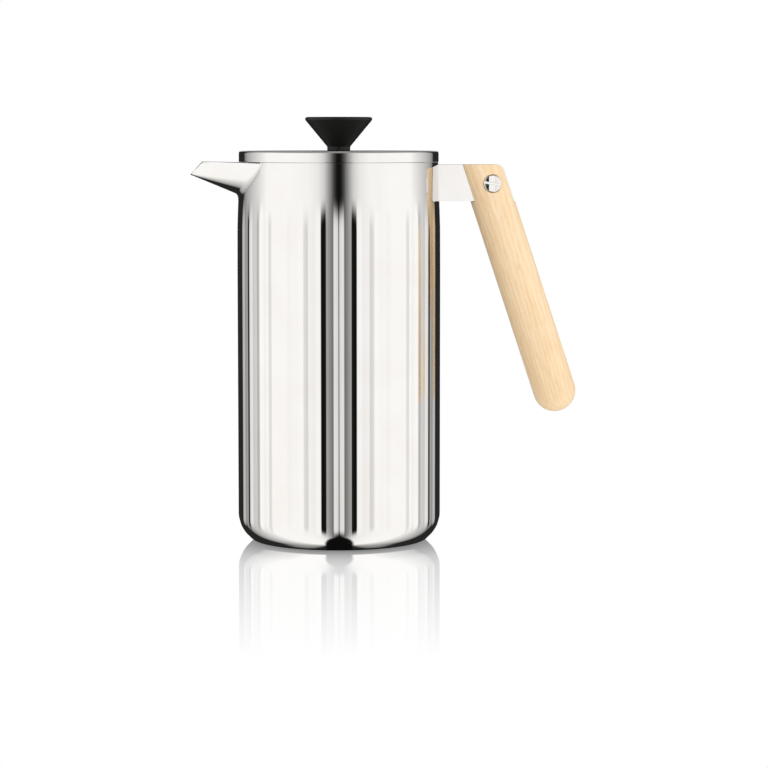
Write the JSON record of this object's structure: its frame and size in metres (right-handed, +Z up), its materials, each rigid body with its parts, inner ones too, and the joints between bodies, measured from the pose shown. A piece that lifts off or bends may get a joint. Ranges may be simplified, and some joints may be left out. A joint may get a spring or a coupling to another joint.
{
  "type": "french press",
  "caption": "Double-walled steel french press with a fluted pot, open spout, wooden bar handle, lift-off lid and a plunger that slides, with a filter pressed by an edge coil.",
  "frame": {"origin": "centre of the base pad's underside, on the pot's axis", "axes": "+Z up along the pot's axis, -X towards the spout, +X towards the handle, +Y across"},
  "size_m": [0.1994, 0.104, 0.218],
  "materials": {
    "polished_steel": "mirror-polished stainless steel",
    "satin_steel": "satin stainless steel",
    "woven_steel": "woven stainless wire",
    "brass": "turned brass",
    "oak": "sanded pale wood with a matt oil",
    "black_plastic": "moulded black plastic, fine satin texture",
    "silicone": "soft moulded silicone"
  },
  "bodies": {
    "pot": {"outer_shell": "polished_steel", "inner_vessel": "satin_steel", "base_plate": "satin_steel", "base_pad": "silicone", "spout": "polished_steel", "handle_bracket": "polished_steel", "handle_grip": "oak", "handle_screw": "polished_steel", "handle_sleeve_nut": "polished_steel", "bracket_spacer": "satin_steel"},
    "lid_ring": {"lid_seal": "silicone"},
    "lid": {"lid_cover": "polished_steel", "lid_liner": "black_plastic", "rod_bushing": "black_plastic"},
    "filter": {"hub_nut": "satin_steel", "cross_plate": "satin_steel", "filter_mesh": "woven_steel", "edge_spring": "satin_steel", "spiral_plate": "satin_steel"},
    "plunger": {"knob": "black_plastic", "knob_insert": "brass", "plunger_rod": "satin_steel", "rod_collar": "satin_steel"}
  },
  "joints": [
    {"name": "lid_lift", "type": "slide", "parent": "pot", "child": "lid_ring", "axis": [0, 0, 1], "range_m": [0, 0.2]},
    {"name": "lid_turn", "type": "hinge", "parent": "lid_ring", "child": "lid", "pos_m": [0, 0, 0.2007], "axis": [0, 0, 1], "continuous": true},
    {"name": "plunger_slide", "type": "slide", "parent": "lid", "child": "filter", "axis": [0, 0, 1], "range_m": [0, 0.15]},
    {"name": "knob_turn", "type": "hinge", "parent": "filter", "child": "plunger", "pos_m": [0, 0, 0.201], "axis": [0, 0, 1], "continuous": true}
  ]
}
